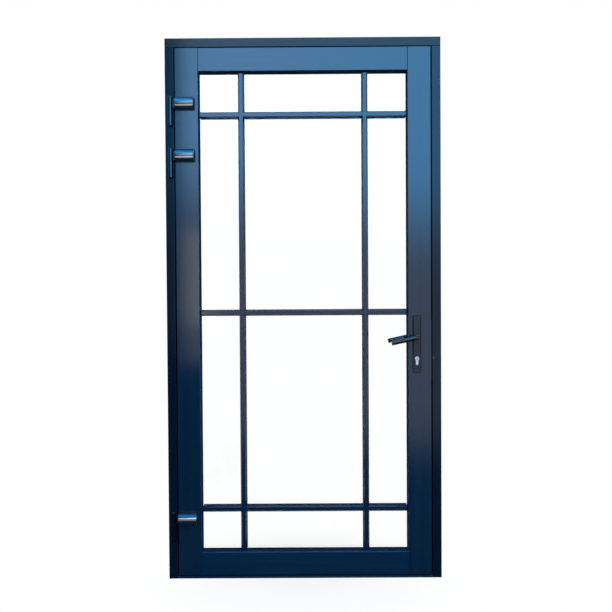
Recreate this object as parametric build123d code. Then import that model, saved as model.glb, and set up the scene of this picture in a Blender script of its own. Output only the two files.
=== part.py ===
from build123d import *
import os

# A glazed metal front door in its frame, in millimetres.
# X runs from the hinge side to the lock side, Y from outside to inside, Z up.
# The origin is on the floor, under the middle of the frame.

# The frame: two jambs, a head that runs over them and a low threshold
frame_width = 1065.0
frame_height = 2100.0
frame_depth = 80.0
frame_face = 34.0
frame_wall = 2.0
stop_overlap = 14.0
frame_edge_radius = 1.0
joint_gap = 1.2
joint_depth = 3.0

# The leaf: two stiles at full height with two rails between them
leaf_gap = 5.0
leaf_proud = 6.0
leaf_thickness = 65.0
stile_width = 89.0
leaf_wall = 2.0
leaf_edge_radius = 1.2
hardware_groove_width = 20.0
hardware_groove_depth = 2.5
rebate_height = 22.0

# The threshold
threshold_height = 9.0
threshold_gap = 6.5
threshold_upstand = 8.0
threshold_nose = 6.0
threshold_nose_drop = 4.5
tread_groove_count = 6
tread_groove_width = 2.0
tread_groove_depth = 1.0
tread_groove_pitch = 8.0

# The weather seal in the frame
seal_gap = 5.0
seal_inset = 7.0
seal_groove_width = 4.0
seal_groove_depth = 4.0
seal_clearance = 1.0
seal_bulb_width = 7.0
seal_fit = 0.1

# The sealed glass unit, its gaskets and beads
glass_setback = 30.0
pane_thickness = 4.0
pane_spacing = 14.0
glass_edge_gap = 5.0
spacer_inset = 3.0
spacer_height = 8.0
gasket_thickness = 3.0
gasket_nose = 4.5
gasket_grip = 9.0
gasket_bevel = 2.0
bead_height = 20.0
bead_bevel = 5.0
bead_wall = 1.5

# The glazing bars stuck on both faces of the glass
corner_light = 148.0
bar_width = 24.0
bar_flat = 14.0
bar_depth_outer = 12.0
bar_depth_inner = 10.0
bar_side_depth = 5.0
bar_wall = 1.5

# The three hinges
hinge_from_bottom = 221.0
hinge_from_top = 214.0
hinge_pair_pitch = 200.0
hinge_axis_inset = 22.0
hinge_axis_clearance = 2.5
knuckle_radius = 10.0
upper_knuckle_rise = 28.0
upper_knuckle_drop = 20.0
lower_knuckle_length = 65.0
knuckle_gap = 0.6
knuckle_bevel = 1.5
pin_end_gap = 3.0
hinge_pin_radius = 4.5
hinge_pin_clearance = 0.1
hinge_body_radius = 25.0
hinge_body_flat = 8.0
hinge_body_length = 73.0
hinge_body_gap = 9.0
hinge_end_bevel = 2.0
hinge_neck_height = 34.0
hinge_neck_thickness = 9.0
hinge_foot_width = 17.0
hinge_foot_height = 56.0

# The lock and its handles
lock_bead_gap = 2.0
handle_height = 942.5
cylinder_drop = 85.0
plate_width = 29.0
plate_below = 138.5
plate_above = 80.5
plate_thickness = 9.0
plate_corner_radius = 3.0
plate_bevel = 1.5
plate_step = 1.5
plate_step_drop = 61.5
lever_radius = 9.0
lever_length = 104.0
lever_reach = 45.5
lever_corner = 11.0
lever_droop = 12.5
lever_collar_radius = 11.5
lever_collar_length = 4.0
lever_collar_clearance = 0.5
lever_end_bevel = 1.5
spindle_width = 8.0
spindle_grip = 24.0
spindle_clearance = 3.0
cylinder_radius = 8.5
cylinder_web = 10.0
cylinder_height = 33.0
cylinder_proud = 1.5
cylinder_clearance = 0.4
key_slot_width = 2.2
key_slot_height = 9.0
key_slot_depth = 6.0
faceplate_above = 63.5
faceplate_below = 171.5
bolt_thickness = 12.0
latch_height = 30.0
bolt_height = 34.0
latch_rise = 0.0
bolt_drop = 124.5
bolt_length = 30.0
bolt_clearance = 0.5

# The strike plate on the lock jamb
strike_thickness = 2.5
strike_width = 22.0
strike_clearance = 2.0
strike_pocket_depth = 22.0

# The anchor holes through the jambs
anchor_hole_radius = 4.0
anchor_head_radius = 7.0
anchor_count = 4
anchor_from_end = 200.0

# Places that follow from the sizes above
frame_front = -frame_depth / 2
frame_back = frame_depth / 2
leaf_front = frame_front - leaf_proud
leaf_back = leaf_front + leaf_thickness
stop_front = leaf_back + seal_gap
side_margin = frame_face + leaf_gap
stop_width = leaf_gap + stop_overlap
leaf_width = frame_width - 2 * side_margin
leaf_bottom = threshold_height + threshold_gap
leaf_top = frame_height - side_margin
leaf_height = leaf_top - leaf_bottom
leaf_middle = (leaf_bottom + leaf_top) / 2
leaf_edge = leaf_width / 2
chamber_width = stile_width - rebate_height
glass_front = leaf_front + glass_setback
glass_back = glass_front + 2 * pane_thickness + pane_spacing
lip_back = glass_front - gasket_thickness
bead_front = glass_back + gasket_thickness
opening_half = leaf_edge - stile_width
sight_half = opening_half - gasket_nose
sight_bottom = leaf_bottom + stile_width + gasket_nose
sight_top = leaf_top - stile_width - gasket_nose
bar_x = sight_half - corner_light - bar_width / 2
bar_low = sight_bottom + corner_light + bar_width / 2
bar_high = sight_top - corner_light - bar_width / 2
jamb_height = frame_height - frame_face
hinge_axis_x = -frame_width / 2 + hinge_axis_inset
hinge_axis_y = frame_front - knuckle_radius - hinge_axis_clearance
lock_x = opening_half + rebate_height + lock_bead_gap + cylinder_radius
cylinder_z = handle_height - cylinder_drop
lock_y = (leaf_front + leaf_back) / 2
anchor_y = frame_front / 5
anchor_pitch = (frame_height - 2 * anchor_from_end) / (anchor_count - 1)
hinge_heights = {
    "bottom": leaf_bottom + hinge_from_bottom,
    "middle": leaf_top - hinge_from_top - hinge_pair_pitch,
    "top": leaf_top - hinge_from_top,
}


def frame_section():
    """Hollow section of the jambs and head: u from the outer edge inwards, v through the frame."""
    inner = frame_face + stop_width
    outline = Polygon(
        (0, frame_front),
        (frame_face, frame_front),
        (frame_face, stop_front),
        (inner, stop_front),
        (inner, frame_back),
        (0, frame_back),
        align=None,
    )
    outline = fillet(outline.vertices().group_by(Axis.Y)[0], frame_edge_radius)
    box = Polygon(
        (frame_wall, frame_front + frame_wall),
        (frame_face - frame_wall, frame_front + frame_wall),
        (frame_face - frame_wall, frame_back - frame_wall),
        (frame_wall, frame_back - frame_wall),
        align=None,
    )
    seal_place = side_margin + seal_inset
    groove_wall = seal_place - seal_groove_width / 2 - frame_wall
    behind_groove = stop_front + seal_groove_depth + frame_wall
    leg = Polygon(
        (frame_face, stop_front + frame_wall),
        (groove_wall, stop_front + frame_wall),
        (groove_wall, behind_groove),
        (inner - frame_wall, behind_groove),
        (inner - frame_wall, frame_back - frame_wall),
        (frame_face, frame_back - frame_wall),
        align=None,
    )
    return outline - box - leg


def leaf_section():
    """Hollow section of the stiles and rails: u from the leaf's edge inwards, v through the leaf."""
    outline = Polygon(
        (0, leaf_front),
        (stile_width, leaf_front),
        (stile_width, lip_back),
        (chamber_width, lip_back),
        (chamber_width, leaf_back),
        (0, leaf_back),
        align=None,
    )
    outline = fillet(outline.vertices().group_by(Axis.Y)[0], leaf_edge_radius)
    groove = Pos(hardware_groove_depth / 2, lock_y) * Rectangle(
        hardware_groove_depth, hardware_groove_width
    )
    front = Polygon(
        (leaf_wall, leaf_front + leaf_wall),
        (stile_width - leaf_wall, leaf_front + leaf_wall),
        (stile_width - leaf_wall, lip_back - leaf_wall),
        (chamber_width - leaf_wall, lip_back - leaf_wall),
        (chamber_width - leaf_wall, lip_back),
        (hardware_groove_depth + leaf_wall, lip_back),
        (hardware_groove_depth + leaf_wall, lock_y - hardware_groove_width / 2 - leaf_wall),
        (leaf_wall, lock_y - hardware_groove_width / 2 - leaf_wall),
        align=None,
    )
    back = Polygon(
        (hardware_groove_depth + leaf_wall, lip_back + leaf_wall),
        (chamber_width - leaf_wall, lip_back + leaf_wall),
        (chamber_width - leaf_wall, leaf_back - leaf_wall),
        (hardware_groove_depth + leaf_wall, leaf_back - leaf_wall),
        align=None,
    )
    return outline - groove - front - back


def upright(section, length, x, z):
    """A length of section standing at x, with u towards +X."""
    return Pos(x, 0, z) * extrude(section, length, dir=(0, 0, 1))


def lying(section, length, z):
    """A length of section lying along X about the middle, with u upwards."""
    return Pos(length / 2, 0, z) * Rot(0, -90, 0) * extrude(section, length, dir=(0, 0, 1))


def other_side(shape):
    return mirror(shape, Plane.YZ)


def block(x0, x1, y0, y1, z0, z1):
    """A box between two corners."""
    return Pos((x0 + x1) / 2, (y0 + y1) / 2, (z0 + z1) / 2) * Box(x1 - x0, y1 - y0, z1 - z0)


def across(radius, y0, y1, x, z):
    """A round bar along Y."""
    return Pos(x, (y0 + y1) / 2, z) * Rot(90, 0, 0) * Cylinder(radius, y1 - y0)


def standing(radius, z0, z1, x, y):
    """A round bar along Z."""
    return Pos(x, y, (z0 + z1) / 2) * Cylinder(radius, z1 - z0)


def seal_run(section, foot):
    """A U of one section up the hinge jamb, along the head and down the lock jamb."""
    place = side_margin + seal_inset
    half = foot / 2
    side = upright(section, frame_height - place + half - threshold_height,
                   -frame_width / 2 + place, threshold_height)
    top = lying(section, frame_width - 2 * place + foot, frame_height - place)
    return side + other_side(side) + top


def seal_ring():
    bulb_tip = leaf_back + seal_clearance
    foot = seal_groove_width - 2 * seal_fit
    foot_shape = Pos(0, stop_front + (seal_groove_depth - seal_fit) / 2) * Rectangle(
        foot, seal_groove_depth - seal_fit
    )
    bulb = Polygon(
        (-seal_bulb_width / 2, stop_front),
        (-seal_bulb_width / 4, bulb_tip),
        (seal_bulb_width / 4, bulb_tip),
        (seal_bulb_width / 2, stop_front),
        align=None,
    )
    return seal_run(foot_shape, foot) + seal_run(bulb, seal_bulb_width)


def seal_groove():
    shape = Pos(0, stop_front + seal_groove_depth / 2) * Rectangle(
        seal_groove_width, seal_groove_depth
    )
    return seal_run(shape, seal_groove_width)


def anchor_holes():
    """Screw holes through the hinge jamb, wide in the rebate wall so that the screw heads go in."""
    inner = -frame_width / 2 + frame_face
    holes = []
    for n in range(anchor_count):
        z = anchor_from_end + n * anchor_pitch
        place = Pos(-frame_width / 2 + frame_wall / 2, anchor_y, z) * Rot(0, 90, 0)
        holes.append(place * Cylinder(anchor_hole_radius, 2 * frame_wall))
        place = Pos(inner - frame_wall / 2, anchor_y, z) * Rot(0, 90, 0)
        holes.append(place * Cylinder(anchor_head_radius, 2 * frame_wall))
    return holes


def lock_windows(clearance):
    """Outlines of the latch and the dead bolt, as (z middle, height, thickness)."""
    latch_z = handle_height + latch_rise
    bolt_z = handle_height - bolt_drop
    spare = 2 * clearance
    return [
        (latch_z, latch_height + spare, bolt_thickness + spare),
        (bolt_z, bolt_height + spare, bolt_thickness + spare),
    ]


def window_cuts(x0, x1, clearance):
    return [
        Pos((x0 + x1) / 2, lock_y, z) * Box(x1 - x0, deep, high)
        for z, high, deep in lock_windows(clearance)
    ]


def strike_plate():
    x1 = frame_width / 2 - frame_face
    x0 = x1 - strike_thickness
    z0 = handle_height - faceplate_below
    z1 = handle_height + faceplate_above
    plate = block(x0, x1, lock_y - strike_width / 2, lock_y + strike_width / 2, z0, z1)
    plate = fillet(plate.edges().filter_by(Axis.X), strike_width / 4)
    return plate - window_cuts(x0 - 1, x1 + 1, strike_clearance)


def frame_jambs():
    """Both jambs, with a shadow line in the front and back faces where the head rests on them."""
    hinge_side = upright(frame_section(), jamb_height, -frame_width / 2, 0)
    for y in (frame_front, frame_back):
        hinge_side -= block(-frame_width, 0, y - joint_depth, y + joint_depth,
                            jamb_height - joint_gap, frame_height)
    hinge_side = hinge_side - seal_groove() - anchor_holes()
    x1 = frame_width / 2 - frame_face
    lock_side = other_side(hinge_side)
    lock_side -= window_cuts(x1 - 1, x1 + strike_pocket_depth, strike_clearance)
    return hinge_side, lock_side


def frame_head():
    """The head's box part runs over both jambs, and its stop is notched to fit between theirs."""
    head = mirror(
        lying(frame_section(), frame_width, 0), Plane.XY.offset(frame_height / 2)
    )
    stop_end = frame_width / 2 - side_margin - stop_overlap
    for x0, x1 in ((-frame_width, -stop_end), (stop_end, frame_width)):
        head -= block(x0, x1, 2 * frame_front, 2 * frame_back, 0, jamb_height)
    return head - seal_groove()


def threshold():
    top = threshold_height
    stop_top = leaf_bottom + threshold_upstand
    wall = frame_wall
    outline = Polygon(
        (frame_front, 0),
        (frame_back, 0),
        (frame_back, stop_top),
        (stop_front, stop_top),
        (stop_front, top),
        (frame_front + threshold_nose, top),
        (frame_front, top - threshold_nose_drop),
        align=None,
    )
    hollow = Polygon(
        (frame_front + threshold_nose, wall),
        (frame_back - wall, wall),
        (frame_back - wall, stop_top - wall),
        (stop_front + wall, stop_top - wall),
        (stop_front + wall, top - wall - tread_groove_depth),
        (frame_front + threshold_nose, top - wall - tread_groove_depth),
        align=None,
    )
    groove = Rectangle(tread_groove_width, 2 * tread_groove_depth)
    first = frame_front + threshold_nose + tread_groove_pitch
    section = outline - hollow
    for n in range(tread_groove_count):
        section -= Pos(first + n * tread_groove_pitch, top) * groove
    length = frame_width - 2 * frame_face
    sill = extrude(Plane.YZ.offset(-length / 2) * section, length, dir=(1, 0, 0))
    stop_end = length / 2 - stop_width
    for x0, x1 in ((-length, -stop_end), (stop_end, length)):
        sill -= block(x0, x1, stop_front, 2 * frame_back, -1, 2 * stop_top)
    return sill


def leaf_frame():
    """Stiles at full height, and rails whose back part reaches behind the stiles' lips."""
    section = leaf_section()
    hinge_stile = upright(section, leaf_height, -leaf_edge, leaf_bottom)
    lock_stile = other_side(hinge_stile)
    spindle_room = spindle_width / 2 + spindle_clearance
    lock_stile -= block(lock_x - spindle_room, lock_x + spindle_room, leaf_front - 1, leaf_back + 1,
                        handle_height - spindle_room, handle_height + spindle_room)
    lock_stile -= cylinder_body(leaf_front - 1, leaf_back + 1, cylinder_clearance)
    groove_floor = leaf_edge - hardware_groove_depth
    lock_stile -= window_cuts(leaf_edge - bolt_length - leaf_wall, groove_floor, bolt_clearance)
    tongue_half = leaf_edge - chamber_width
    bottom = lying(section, 2 * tongue_half, leaf_bottom)
    for x0, x1 in ((-leaf_edge, -opening_half), (opening_half, leaf_edge)):
        bottom -= block(x0, x1, leaf_front - 1, lip_back, 0, leaf_bottom + 2 * stile_width)
    for x0 in (-opening_half, opening_half - joint_gap):
        bottom -= block(x0, x0 + joint_gap, leaf_front - 1, leaf_front + joint_depth,
                        0, leaf_bottom + 2 * stile_width)
    top = mirror(bottom, Plane.XY.offset(leaf_middle))
    return hinge_stile, lock_stile, bottom, top


def rectangle_ring(section, inset, shift=0.0):
    """One section carried round the glass, with square corners: u is measured from the leaf's edge."""
    half = leaf_edge - inset
    z0 = leaf_bottom + inset
    z1 = leaf_top - inset
    side = upright(section, z1 - z0 + 2 * shift, -leaf_edge, z0 - shift)
    low = lying(section, 2 * (half + shift), leaf_bottom)
    high = mirror(low, Plane.XY.offset(leaf_middle))
    return side, other_side(side), low, high


def gasket(front, back, start, nose, bevel_at_front):
    """A glazing gasket round the glass, bevelled on the side that shows."""
    low, high = (front, back) if bevel_at_front else (back, front)
    slope = gasket_bevel if bevel_at_front else -gasket_bevel
    section = Polygon(
        (start, low),
        (nose - gasket_bevel, low),
        (nose, low + slope),
        (nose, high),
        (start, high),
        align=None,
    )
    side, far_side, bottom, top = rectangle_ring(section, start)
    return side + far_side + bottom + top


def glazing_beads():
    """Clip-in beads on the inside: the long ones stand between the short ones."""
    end = chamber_width + bead_height
    section = Polygon(
        (chamber_width, bead_front),
        (end, bead_front),
        (end, leaf_back - bead_bevel),
        (end - bead_bevel, leaf_back),
        (chamber_width, leaf_back),
        align=None,
    )
    section -= Polygon(
        (chamber_width + bead_wall, bead_front + bead_wall),
        (end - bead_wall, bead_front + bead_wall),
        (end - bead_wall, leaf_back - bead_bevel - bead_wall / 2),
        (end - bead_bevel - bead_wall / 2, leaf_back - bead_wall),
        (chamber_width + bead_wall, leaf_back - bead_wall),
        align=None,
    )
    bottom = lying(section, 2 * (leaf_edge - chamber_width), leaf_bottom)
    side = upright(section, leaf_height - 2 * end, -leaf_edge, leaf_bottom + end)
    top = mirror(bottom, Plane.XY.offset(leaf_middle))
    return Compound([side, other_side(side)]), Compound([bottom, top])


def bar_outline(base, depth, inset):
    """Outline of a glazing bar that stands off the glass from base by depth, grown smaller by inset."""
    sign = 1 if depth > 0 else -1
    half = bar_width / 2 - inset
    flat = bar_flat / 2 - inset / 2
    foot = base + sign * inset
    side = base + sign * (bar_side_depth)
    top = base + depth - sign * inset
    return Polygon(
        (-half, foot), (half, foot), (half, side), (flat, top), (-flat, top), (-half, side),
        align=None,
    )


def glazing_bars(base, depth):
    """Two bars at full height and three across them, scribed to meet them flush."""
    tall = sight_top - sight_bottom
    solid = bar_outline(base, depth, 0)
    hollow = solid - bar_outline(base, depth, bar_wall)
    left = upright(hollow, tall, -bar_x, sight_bottom)
    left_solid = upright(solid, tall, -bar_x, sight_bottom)
    crossing = left_solid + other_side(left_solid)
    rows = []
    for z in (bar_high, (bar_high + bar_low) / 2, bar_low):
        rows.append(lying(hollow, 2 * sight_half, z) - crossing)
    return [left, other_side(left), *rows]


def hinge_body(z):
    """The round cover that lies along the leaf: half a cylinder on a straight foot."""
    left = hinge_axis_x + knuckle_radius + hinge_body_gap
    front = leaf_front - hinge_body_flat
    behind = (Align.MIN, Align.CENTER)
    profile = Pos(front, 0) * Circle(hinge_body_radius)
    profile -= Pos(front, 0) * Rectangle(2 * hinge_body_radius, 3 * hinge_body_radius, align=behind)
    profile += Pos(front, 0) * Rectangle(hinge_body_flat, 2 * hinge_body_radius, align=behind)
    body = extrude(Plane.YZ.offset(left) * profile, hinge_body_length, dir=(1, 0, 0))
    end_edges = body.faces().sort_by(Axis.X)[-1].edges().filter_by(GeomType.CIRCLE)
    body = chamfer(end_edges, hinge_end_bevel)
    neck = block(hinge_axis_x, left + 1, leaf_front - hinge_neck_thickness, leaf_front,
                 -hinge_neck_height / 2, hinge_neck_height / 2)
    return Pos(0, 0, z) * (body + neck)


def knuckle(z0, z1):
    return standing(knuckle_radius, z0, z1, hinge_axis_x, hinge_axis_y)


def hinge(z):
    """Leaf part, frame part and pin of one hinge, with the round body's middle at height z."""
    split = z - upper_knuckle_drop
    top = z + upper_knuckle_rise
    low_top = split - knuckle_gap
    low_bottom = low_top - lower_knuckle_length
    upper = knuckle(split, top)
    upper = chamfer(upper.edges().sort_by(Axis.Z)[-1], knuckle_bevel)
    bore_top = top - knuckle_bevel - pin_end_gap
    bore = standing(hinge_pin_radius + hinge_pin_clearance, split - 1, bore_top,
                    hinge_axis_x, hinge_axis_y)
    lower = knuckle(low_bottom, low_top)
    lower = chamfer(lower.edges().sort_by(Axis.Z)[0], knuckle_bevel)
    foot_middle = (low_bottom + low_top) / 2
    foot = block(hinge_axis_x - hinge_foot_width / 2, hinge_axis_x + hinge_foot_width / 2,
                 hinge_axis_y, frame_front,
                 foot_middle - hinge_foot_height / 2, foot_middle + hinge_foot_height / 2)
    pin = standing(hinge_pin_radius, low_bottom + knuckle_bevel, bore_top - knuckle_gap,
                   hinge_axis_x, hinge_axis_y)
    return upper + hinge_body(z) - bore, lower + foot - pin, pin


def cylinder_body(y0, y1, clearance):
    """The lock cylinder's outline, a round top with a narrow web below it, as a bar along Y."""
    web_radius = cylinder_web / 2
    foot = cylinder_z + cylinder_radius - cylinder_height + web_radius
    round_top = across(cylinder_radius + clearance, y0, y1, lock_x, cylinder_z)
    web = block(lock_x - web_radius - clearance, lock_x + web_radius + clearance, y0, y1,
                foot, cylinder_z)
    round_foot = across(web_radius + clearance, y0, y1, lock_x, foot)
    return round_top + web + round_foot


def lock_cylinder():
    y0 = leaf_front - plate_thickness - cylinder_proud
    y1 = leaf_back + plate_thickness + cylinder_proud
    body = cylinder_body(y0, y1, 0)
    for y in (y0, y1):
        body -= block(lock_x - key_slot_width / 2, lock_x + key_slot_width / 2,
                      y - key_slot_depth, y + key_slot_depth,
                      cylinder_z - key_slot_height / 2, cylinder_z + key_slot_height / 2)
    return body


def handle_plate():
    """The outer long plate: its lower part, round the cylinder, is a step thinner."""
    z0 = handle_height - plate_below
    z1 = handle_height + plate_above
    front = leaf_front - plate_thickness
    plate = block(lock_x - plate_width / 2, lock_x + plate_width / 2, front, leaf_front, z0, z1)
    plate = fillet(plate.edges().filter_by(Axis.Y), plate_corner_radius)
    plate = chamfer(plate.faces().sort_by(Axis.Y)[0].edges(), plate_bevel)
    plate -= block(lock_x - plate_width, lock_x + plate_width, front - 1, front + plate_step,
                   z0 - 1, handle_height - plate_step_drop)
    plate -= across(lever_collar_radius + lever_collar_clearance, front - 1, leaf_front + 1,
                    lock_x, handle_height)
    return plate - cylinder_body(front - 1, leaf_front + 1, cylinder_clearance)


def lever():
    """The outer lever: one round bar that comes out of the plate, turns over two mitres and droops."""
    path = Polyline(
        (0, 0, 0),
        (0, lever_corner - lever_reach, 0),
        (-lever_corner, -lever_reach, 0),
        (-lever_length, -lever_reach, 0),
    )
    start = Plane((0, 0, 0), z_dir=(0, -1, 0))
    bar = sweep(start * Circle(lever_radius), path, transition=Transition.RIGHT)
    bar = chamfer(bar.edges().sort_by(Axis.X)[0], lever_end_bevel)
    collar_front = -plate_thickness - lever_collar_length
    bar += across(lever_collar_radius, collar_front, 0, 0, 0)
    bar -= Pos(0, lever_radius - lever_collar_clearance, 0) * Box(
        3 * lever_collar_radius, 2 * lever_radius, 3 * lever_collar_radius
    )
    bar -= Box(spindle_width, 2 * spindle_grip, spindle_width)
    return Pos(lock_x, leaf_front, handle_height) * Rot(0, -lever_droop, 0) * bar


def lever_spindle():
    length = leaf_thickness + 2 * spindle_grip
    bar = Rot(0, -lever_droop, 0) * Box(spindle_width, length, spindle_width)
    return Pos(lock_x, lock_y, handle_height) * bar


def lock_faceplate():
    x0 = leaf_edge - hardware_groove_depth
    z0 = handle_height - faceplate_below
    z1 = handle_height + faceplate_above
    plate = block(x0, leaf_edge, lock_y - hardware_groove_width / 2,
                  lock_y + hardware_groove_width / 2, z0, z1)
    return plate - window_cuts(x0 - 1, leaf_edge + 1, bolt_clearance)


def lock_bolts():
    """The latch and the dead bolt, both drawn back level with the faceplate."""
    return Compound(window_cuts(leaf_edge - bolt_length, leaf_edge, 0))


parts = {}
parts["frame_jamb_hinge_side"], parts["frame_jamb_lock_side"] = frame_jambs()
parts["frame_head"] = frame_head()
parts["threshold"] = threshold()
parts["frame_seal"] = seal_ring()
parts["strike_plate"] = strike_plate()

(
    parts["leaf_stile_hinge_side"],
    parts["leaf_stile_lock_side"],
    parts["leaf_rail_bottom"],
    parts["leaf_rail_top"],
) = leaf_frame()

glass_edge = chamber_width + glass_edge_gap
glass_half = leaf_edge - glass_edge
glass_low = leaf_bottom + glass_edge
glass_high = leaf_top - glass_edge
parts["glass_pane_outer"] = block(-glass_half, glass_half, glass_front, glass_front + pane_thickness,
                                  glass_low, glass_high)
parts["glass_pane_inner"] = block(-glass_half, glass_half, glass_back - pane_thickness, glass_back,
                                  glass_low, glass_high)
ring = [
    block(-glass_half + inset, glass_half - inset, glass_front + pane_thickness,
          glass_back - pane_thickness, glass_low + inset, glass_high - inset)
    for inset in (spacer_inset, spacer_inset + spacer_height)
]
parts["glass_spacer"] = ring[0] - ring[1]

outer_nose = stile_width + gasket_nose
inner_nose = chamber_width + bead_height + gasket_nose
parts["glazing_gasket_outer"] = gasket(lip_back, glass_front, stile_width - gasket_grip,
                                       outer_nose, True)
parts["glazing_gasket_inner"] = gasket(glass_back, bead_front, chamber_width + bead_height - gasket_grip,
                                       inner_nose, False)
parts["glazing_beads_upright"], parts["glazing_beads_lying"] = glazing_beads()

bar_names = ("left", "right", "top", "middle", "bottom")
for face, base, depth in (
    ("outer", glass_front, -bar_depth_outer),
    ("inner", glass_back, bar_depth_inner),
):
    for name, bar in zip(bar_names, glazing_bars(base, depth)):
        parts[f"glazing_bar_{name}_{face}"] = bar

for name, z in hinge_heights.items():
    (
        parts[f"hinge_leaf_part_{name}"],
        parts[f"hinge_frame_part_{name}"],
        parts[f"hinge_pin_{name}"],
    ) = hinge(z)

middle_plane = Plane.XZ.offset(-lock_y)
parts["handle_plate_outer"] = handle_plate()
parts["handle_plate_inner"] = mirror(parts["handle_plate_outer"], middle_plane)
parts["lever_outer"] = lever()
parts["lever_inner"] = mirror(parts["lever_outer"], middle_plane)
parts["lever_spindle"] = lever_spindle()
parts["lock_cylinder"] = lock_cylinder()
parts["lock_faceplate"] = lock_faceplate()
parts["lock_bolts"] = lock_bolts()

os.makedirs("parts", exist_ok=True)
for name, shape in parts.items():
    shape.label = name
    export_step(shape, f"parts/{name}.step")
    box = shape.bounding_box()
    print(name, [round(v, 1) for v in (*box.min, *box.max)], "solids", len(shape.solids()))
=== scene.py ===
# %% [markdown]
# # A glazed metal front door, dressed for its photograph
# The door is already built as exact solids: a frame of two jambs, a head and a low
# threshold, a leaf of hollow profiles round a sealed glass unit, glazing bars, three
# surface hinges, and a lever on a long narrow plate. Here those solids get their paint,
# rubber, glass and steel, and the small things that are too fine to be solids of their
# own, such as screws and caps.
#
# Places are in metres, in the frame of the solids: X from the hinge side to the lock side,
# Y from outside to inside, Z up, with the origin on the floor under the frame. The profiles
# of small pieces are written in millimetres, as a drawing would have them.

# %% Load the solids
import math

import bpy
import numpy as np
from mathutils import Matrix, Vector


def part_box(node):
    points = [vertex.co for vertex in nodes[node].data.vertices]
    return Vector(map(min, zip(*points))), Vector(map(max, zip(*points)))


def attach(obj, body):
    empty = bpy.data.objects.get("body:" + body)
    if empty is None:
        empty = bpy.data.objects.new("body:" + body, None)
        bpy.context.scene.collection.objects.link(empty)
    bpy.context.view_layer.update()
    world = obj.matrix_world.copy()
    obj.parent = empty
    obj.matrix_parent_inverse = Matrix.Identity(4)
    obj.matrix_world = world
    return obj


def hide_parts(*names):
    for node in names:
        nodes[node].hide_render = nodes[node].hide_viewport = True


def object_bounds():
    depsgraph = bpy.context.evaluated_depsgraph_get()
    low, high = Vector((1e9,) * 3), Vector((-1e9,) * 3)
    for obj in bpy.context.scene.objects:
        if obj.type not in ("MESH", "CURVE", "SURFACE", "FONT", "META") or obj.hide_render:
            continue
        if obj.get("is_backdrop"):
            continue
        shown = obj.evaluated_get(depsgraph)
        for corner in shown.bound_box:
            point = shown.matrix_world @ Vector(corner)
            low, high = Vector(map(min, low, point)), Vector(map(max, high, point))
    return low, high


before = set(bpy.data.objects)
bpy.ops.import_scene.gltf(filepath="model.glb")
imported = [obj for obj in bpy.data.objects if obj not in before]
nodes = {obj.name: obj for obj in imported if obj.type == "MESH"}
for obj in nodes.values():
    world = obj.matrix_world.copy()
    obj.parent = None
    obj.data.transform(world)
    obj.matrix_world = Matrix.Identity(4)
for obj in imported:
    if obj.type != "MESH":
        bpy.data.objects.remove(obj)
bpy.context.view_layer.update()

MM = 0.001

# %% [markdown]
# ## The camera
# The door stands almost square to the picture. Its verticals lean a little and draw
# together towards the foot, so the lens was about 1.1 m above the floor, tipped down by a
# degree and rolled by a fraction of one. The distance can't be read exactly from a flat
# door, but the depth of the glass rebates, dark at the top and lit at the foot, fits a
# lens some 3.3 m away. The focal length then follows from the door's size in the picture.

# %% Camera
PICTURE_SIDE = 612
FOCAL_PIXELS = 841.0
CAMERA_PLACE = (0.0203, -3.305, 1.134)
PITCH_DOWN, ROLL, YAW = 0.0215, 0.006, -0.0037

lens_data = bpy.data.cameras.new("camera")
lens_data.sensor_width = 36.0
lens_data.lens = FOCAL_PIXELS / PICTURE_SIDE * lens_data.sensor_width
lens_data.clip_start, lens_data.clip_end = 0.05, 60.0
camera = bpy.data.objects.new("camera", lens_data)
bpy.context.scene.collection.objects.link(camera)
look = Matrix.Rotation(-YAW, 4, "Z") @ Matrix.Rotation(math.pi / 2 - PITCH_DOWN, 4, "X")
camera.matrix_world = Matrix.Translation(CAMERA_PLACE) @ look @ Matrix.Rotation(-ROLL, 4, "Z")
bpy.context.scene.camera = camera
print("lens", round(lens_data.lens, 2), "mm at", CAMERA_PLACE)

# %% [markdown]
# ## The floor
# A product picture on white wants a floor and a background that meet without a line. One
# way is a curved sheet behind the object. Here the floor is a flat disc that is wide enough
# to reach the horizon of the picture, and its colour does the rest. It is a grid of radius
# and angle, and its rings lie closer together near the door.

# %% Floor surface
FLOOR_RADIUS, FLOOR_RINGS, FLOOR_SEGMENTS = 30.0, 24, 96


def disc(radius, rings, segments):
    """A flat disc: the points (r cos a, r sin a, 0) on a grid of radius r and angle a."""
    r = radius * (np.arange(1, rings + 1) / rings) ** 2
    a = np.linspace(0, 2 * np.pi, segments, endpoint=False)
    grid = np.stack([np.outer(r, np.cos(a)), np.outer(r, np.sin(a)), np.zeros((rings, segments))], -1)
    return np.vstack([grid.reshape(-1, 3), [[0.0, 0.0, 0.0]]])


def ring_faces(rings, segments):
    """Quads between neighbouring rings of a grid that closes on itself in its second parameter."""
    i, j = np.meshgrid(np.arange(rings - 1), np.arange(segments), indexing="ij")
    k = (j + 1) % segments
    quads = np.stack([i * segments + j, i * segments + k, (i + 1) * segments + k,
                      (i + 1) * segments + j], -1)
    return quads.reshape(-1, 4)


def fan_faces(pole, ring_start, segments, reverse):
    """Triangles from a pole to the ring of points that starts at ring_start."""
    j = np.arange(segments)
    k = (j + 1) % segments
    a, b = (k, j) if reverse else (j, k)
    return np.stack([np.full(segments, pole), ring_start + a, ring_start + b], -1)


def new_mesh(name, points, faces):
    """An object in the scene that is made of these points and faces."""
    mesh = bpy.data.meshes.new(name)
    mesh.from_pydata(points, [], faces)
    o = bpy.data.objects.new(name, mesh)
    bpy.context.scene.collection.objects.link(o)
    return o


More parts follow.
